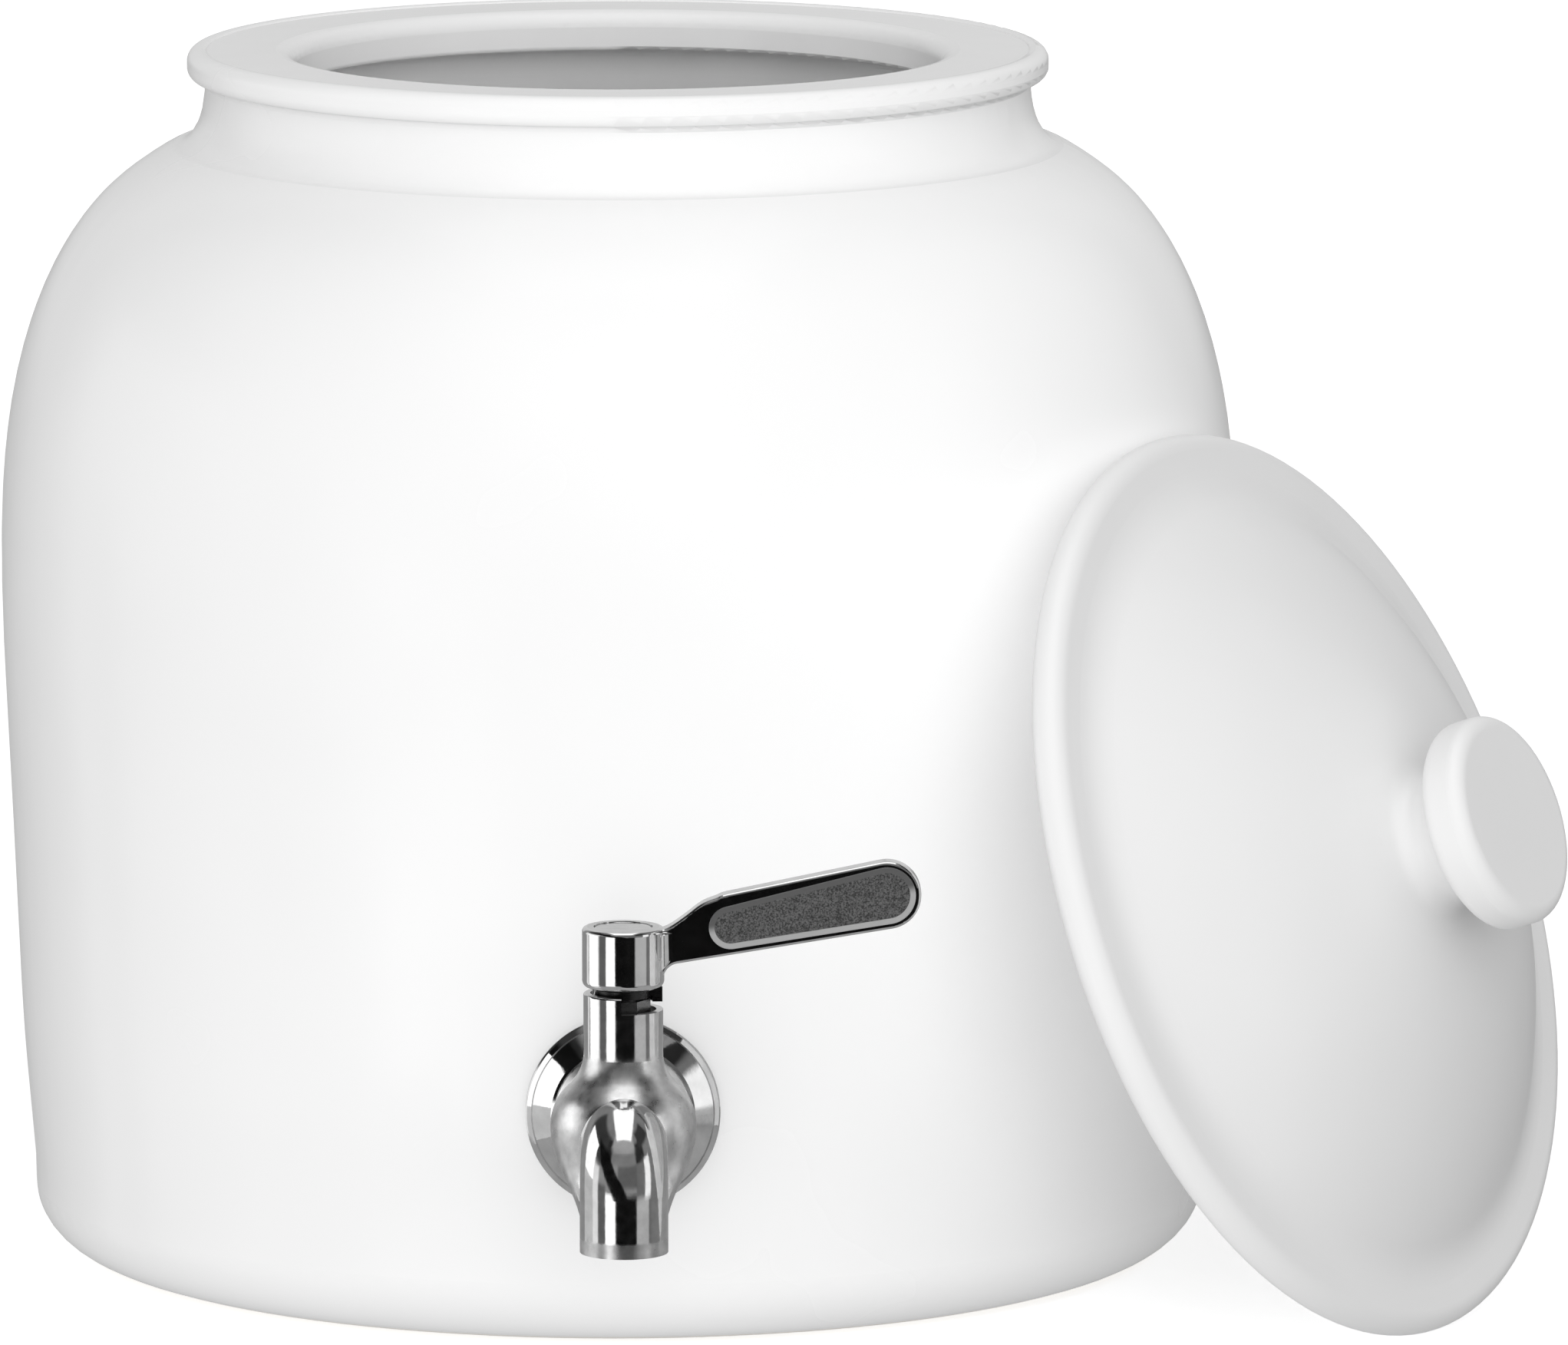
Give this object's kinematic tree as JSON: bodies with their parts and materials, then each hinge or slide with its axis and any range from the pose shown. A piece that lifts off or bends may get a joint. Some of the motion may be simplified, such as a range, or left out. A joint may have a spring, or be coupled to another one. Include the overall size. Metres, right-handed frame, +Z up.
{
  "type": "ceramic crock fermenter with spigot",
  "caption": "Round-shouldered glazed ceramic crock with a wide mouth, a loose domed lid leaning on its side and a quarter-turn steel lever spigot near its base.",
  "frame": {"origin": "on the crock's axis, at the plane that its foot ring stands on", "axes": "+Z up along the crock's axis, -Y out of the wall through the spigot, +X towards the closed lever and the leaning lid"},
  "size_m": [0.3424, 0.3168, 0.266],
  "materials": {
    "crock_glaze": "gloss",
    "lid_glaze": "satin",
    "polished_steel": "polished",
    "escutcheon_steel": "polished",
    "lever_steel": "polished",
    "turned_steel": "satin",
    "dark_steel": "satin",
    "lever_grain": "matte",
    "silicone": "matte",
    "seal_rubber": "satin",
    "ptfe": "satin"
  },
  "bodies": {
    "crock": {"crock_body": "crock_glaze", "spigot_body": "polished_steel", "escutcheon": "escutcheon_steel", "outer_gasket": "silicone", "inner_gasket": "silicone", "inner_washer": "turned_steel", "lock_nut": "turned_steel", "seat_sleeve": "ptfe", "thrust_washer": "ptfe", "bonnet_nut": "turned_steel"},
    "lever": {"valve_plug": "turned_steel", "stem_seal_lower": "seal_rubber", "stem_seal_upper": "seal_rubber", "stop_washer": "dark_steel", "lever_handle": "lever_steel", "lever_inlay_front": "lever_grain", "lever_inlay_back": "lever_grain", "handle_screw": "turned_steel", "handle_cap": "lever_steel"},
    "lid": {"lid": "lid_glaze"}
  },
  "joints": [
    {"name": "lever_turn", "type": "hinge", "parent": "crock", "child": "lever", "pos_m": [0, -0.155, 0.0828], "axis": [0, 0, -1], "range_deg": [0, 90]},
    {"name": "lid_lift", "type": "slide", "parent": "crock", "child": "lid", "axis": [0, 0, 1], "range_m": [0, 0.3]}
  ]
}
